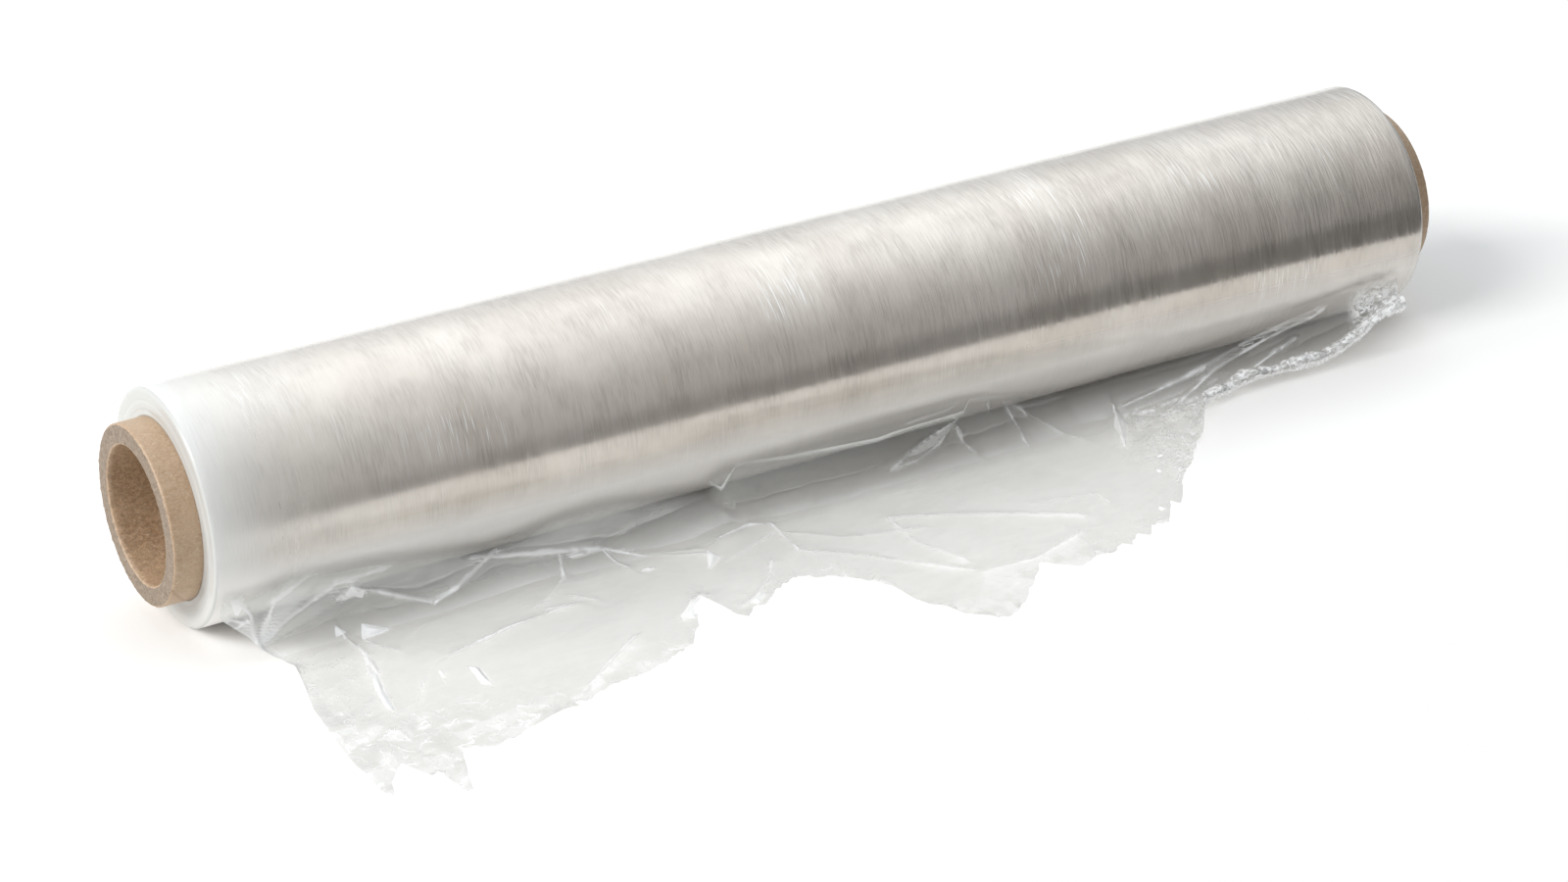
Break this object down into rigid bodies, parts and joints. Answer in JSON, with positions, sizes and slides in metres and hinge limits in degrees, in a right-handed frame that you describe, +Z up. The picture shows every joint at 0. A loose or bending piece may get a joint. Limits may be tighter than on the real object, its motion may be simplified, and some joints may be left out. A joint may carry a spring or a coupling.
{
  "type": "roll of window insulation film",
  "caption": "Roll of clear plastic film on a cardboard tube, lying on its side, its torn and crumpled loose end spread in front.",
  "frame": {"origin": "on the axis of the tube's bore, at the middle of the roll's length", "axes": "+X along the roll, +Z up from the surface that it lies on, the loose end on the -Y side"},
  "size_m": [0.5214, 0.197, 0.0856],
  "materials": {
    "tube": "uncoated brown kraft paper with a fibrous cut edge",
    "film": "clear film, milky and satin where it is wound, glossy where it lies loose"
  },
  "bodies": {
    "root": {"cardboard_tube": "tube", "film": "film"}
  },
  "joints": []
}
